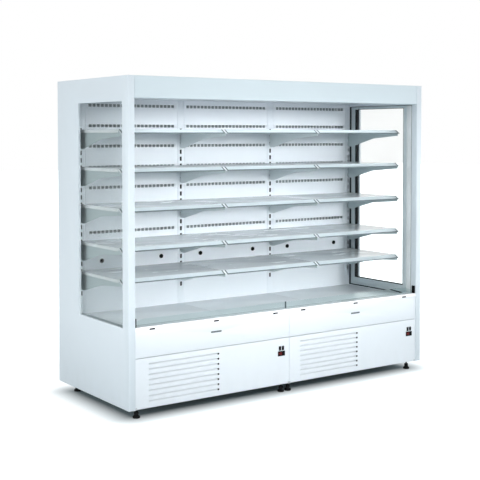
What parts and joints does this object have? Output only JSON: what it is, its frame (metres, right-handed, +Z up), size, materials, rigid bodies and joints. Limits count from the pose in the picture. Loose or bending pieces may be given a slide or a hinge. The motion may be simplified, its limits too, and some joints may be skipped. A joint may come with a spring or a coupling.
{
  "type": "refrigerated display case",
  "caption": "Tall open-front refrigerated display case with glazed end walls, tiers of shelves with slanted lips, a low clear riser, a louvred base and a pull-down night blind.",
  "frame": {"origin": "centre of the bounding box at the floor, under the foot pads", "axes": "+X along the case to the right seen from the front, -Y out of the open front, +Z up"},
  "size_m": [2.5, 0.99, 2.13],
  "materials": {
    "white_shell": "satin",
    "white_panel": "satin",
    "inner_white": "satin",
    "upright_grey": "satin",
    "bracket_grey": "satin",
    "ledge_white": "gloss",
    "double_glazing": "gloss",
    "riser_clear": "gloss",
    "black_rubber": "matte",
    "grey_aluminium": "satin",
    "polished_strip": "polished",
    "zinc_steel": "satin",
    "black_plastic": "matte",
    "inset_grey": "satin",
    "lamp_white": "satin",
    "lamp_metal": "satin",
    "blind_cloth": "matte",
    "black_steel": "gloss",
    "coil_fins": "satin",
    "fan_metal": "satin"
  },
  "bodies": {
    "root": {"end_wall_left": "white_shell", "end_wall_right": "white_shell", "back_wall": "white_shell", "roof": "white_shell", "insulated_tub": "white_shell", "fascia": "white_panel", "upper_panels": "white_panel", "base_pan": "white_panel", "canopy_liner": "inner_white", "back_panels": "inner_white", "deck_plates": "inner_white", "shelf_tier_1": "inner_white", "shelf_tier_2": "inner_white", "shelf_tier_3": "inner_white", "shelf_tier_4": "inner_white", "shelf_tier_5": "inner_white", "uprights": "upright_grey", "fan_plate": "upright_grey", "shelf_brackets": "bracket_grey", "return_grille": "bracket_grey", "air_outlet": "bracket_grey", "ledge": "ledge_white", "ticket_strips": "ledge_white", "side_glass_left": "double_glazing", "side_glass_right": "double_glazing", "riser_glass": "riser_clear", "window_gaskets": "black_rubber", "foot_pads": "black_rubber", "window_trims": "grey_aluminium", "glazing_spacers": "grey_aluminium", "mirror_strips": "polished_strip", "foot_studs": "zinc_steel", "blind_cassette": "zinc_steel", "ledge_clips": "black_plastic", "panel_plugs": "black_plastic", "blind_catches": "black_plastic", "condenser_shrouds": "black_plastic", "panel_insets": "inset_grey", "lamp_diffuser": "lamp_white", "lamp_housing": "lamp_metal", "blind_fabric": "blind_cloth", "compressors": "black_steel", "condensers": "coil_fins", "evaporator": "coil_fins"},
    "service_panel_left": {"service_panel_left": "white_panel", "controller_left": "black_plastic", "switch_frames_left": "black_plastic"},
    "service_panel_right": {"service_panel_right": "white_panel", "controller_right": "black_plastic", "switch_frames_right": "black_plastic"},
    "rocker_left_a": {"rocker_left_a": "black_plastic"},
    "rocker_left_b": {"rocker_left_b": "black_plastic"},
    "rocker_right_a": {"rocker_right_a": "black_plastic"},
    "rocker_right_b": {"rocker_right_b": "black_plastic"},
    "condenser_fan_left": {"condenser_fan_left": "fan_metal"},
    "condenser_fan_right": {"condenser_fan_right": "fan_metal"},
    "evaporator_fan_left": {"evaporator_fan_left": "fan_metal"},
    "evaporator_fan_right": {"evaporator_fan_right": "fan_metal"},
    "blind_bar": {"blind_bar": "grey_aluminium"},
    "blind_roller": {"blind_roller": "blind_cloth"}
  },
  "joints": [
    {"name": "service_panel_left_fold", "type": "hinge", "parent": "root", "child": "service_panel_left", "pos_m": [-0.601, -0.4882, 0.069], "axis": [1, 0, 0], "range_deg": [0, 85]},
    {"name": "service_panel_right_fold", "type": "hinge", "parent": "root", "child": "service_panel_right", "pos_m": [0.601, -0.4882, 0.069], "axis": [1, 0, 0], "range_deg": [0, 85]},
    {"name": "rocker_left_a_press", "type": "hinge", "parent": "service_panel_left", "child": "rocker_left_a", "pos_m": [-0.08025, -0.486, 0.314], "axis": [-1, 0, 0], "range_deg": [0, 18]},
    {"name": "rocker_left_b_press", "type": "hinge", "parent": "service_panel_left", "child": "rocker_left_b", "pos_m": [-0.05475, -0.486, 0.314], "axis": [-1, 0, 0], "range_deg": [0, 18]},
    {"name": "rocker_right_a_press", "type": "hinge", "parent": "service_panel_right", "child": "rocker_right_a", "pos_m": [1.12175, -0.486, 0.314], "axis": [-1, 0, 0], "range_deg": [0, 18]},
    {"name": "rocker_right_b_press", "type": "hinge", "parent": "service_panel_right", "child": "rocker_right_b", "pos_m": [1.14725, -0.486, 0.314], "axis": [-1, 0, 0], "range_deg": [0, 18]},
    {"name": "condenser_fan_left_spin", "type": "hinge", "parent": "root", "child": "condenser_fan_left", "pos_m": [-0.844, -0.3287, 0.204], "axis": [0, 1, 0], "continuous": true},
    {"name": "condenser_fan_right_spin", "type": "hinge", "parent": "root", "child": "condenser_fan_right", "pos_m": [0.358, -0.3287, 0.204], "axis": [0, 1, 0], "continuous": true},
    {"name": "evaporator_fan_left_spin", "type": "hinge", "parent": "root", "child": "evaporator_fan_left", "pos_m": [-0.601, -0.163, 0.485], "axis": [0, 1, 0], "continuous": true},
    {"name": "evaporator_fan_right_spin", "type": "hinge", "parent": "root", "child": "evaporator_fan_right", "pos_m": [0.601, -0.163, 0.485], "axis": [0, 1, 0], "continuous": true},
    {"name": "blind_pull", "type": "slide", "parent": "root", "child": "blind_bar", "axis": [0, 0, -1], "range_m": [0, 1.4], "stiffness_N_per_m": 10, "springref_m": -2, "deforming": ["blind_fabric"]},
    {"name": "blind_roll", "type": "hinge", "parent": "root", "child": "blind_roller", "pos_m": [0, -0.4417, 2.0373], "axis": [1, 0, 0], "range_deg": [0, 3060]}
  ],
  "couplings": [
    {"joint": "blind_roll", "follows": "blind_pull", "rad_per_m": 38.023}
  ]
}
